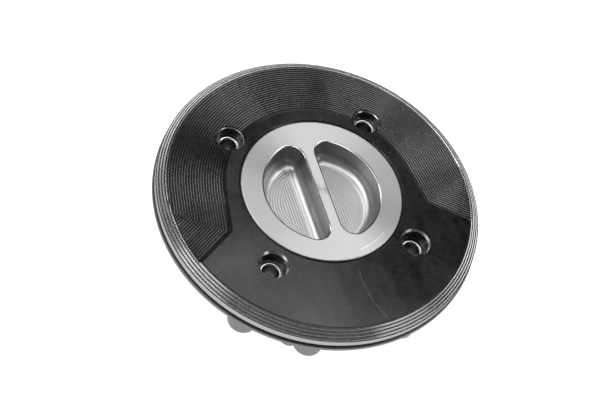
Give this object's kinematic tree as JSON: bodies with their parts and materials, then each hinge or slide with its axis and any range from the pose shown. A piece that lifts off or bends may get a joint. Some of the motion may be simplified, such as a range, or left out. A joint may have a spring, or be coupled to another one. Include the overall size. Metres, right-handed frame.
{
  "type": "fuel filler cap",
  "caption": "Round bolt-on fuel filler cap: black ring with ridged field and bright stepped rim, silver twist-off plug with finger pockets.",
  "frame": {"origin": "centre of the mounting screw circle, on the face that seats on the tank", "axes": "+Z out of the tank, through the middle of the plug; +Y towards the middle of the ridged field"},
  "size_m": [0.1176, 0.1176, 0.0394],
  "materials": {
    "black_ring": "black anodised with bright-cut rim lands",
    "silver_ring": "plain machined, fine turned",
    "silver_plug": "satin silver anodised, milled pockets",
    "rubber": "fuel-proof rubber, matt",
    "steel": "bright stainless steel",
    "black_body": "black acetal, turned",
    "washer": "white low-friction plastic",
    "brass": "turned",
    "sintered": "sintered bronze, grainy"
  },
  "bodies": {
    "ring": {"flange_ring": "black_ring", "base_ring": "silver_ring", "rim_gasket": "rubber", "hub_gasket": "rubber", "tank_seal": "rubber", "ring_screw_1": "steel", "ring_screw_2": "steel", "ring_screw_3": "steel", "ring_screw_4": "steel", "locating_dowel_1": "steel", "locating_dowel_2": "steel", "stop_pin": "steel"},
    "plug": {"plug_cap": "silver_plug", "plug_body": "black_body", "face_seal": "rubber", "bore_seal": "rubber", "slip_washer": "washer", "plug_screw_1": "steel", "plug_screw_2": "steel", "plug_screw_3": "steel", "vent_filter": "sintered", "vent_retainer": "brass", "vent_spring": "steel"},
    "vent_ball": {"vent_ball": "steel"}
  },
  "joints": [
    {"name": "plug_turn", "type": "hinge", "parent": "ring", "child": "plug", "pos_m": [0, 0, 0], "axis": [0, 0, 1], "range_deg": [0, 60]},
    {"name": "vent_ball_drop", "type": "slide", "parent": "plug", "child": "vent_ball", "axis": [0, 0, -1], "range_m": [0, 0.0015], "stiffness_N_per_m": 6, "springref_m": -0.003, "deforming": ["vent_spring"]}
  ]
}
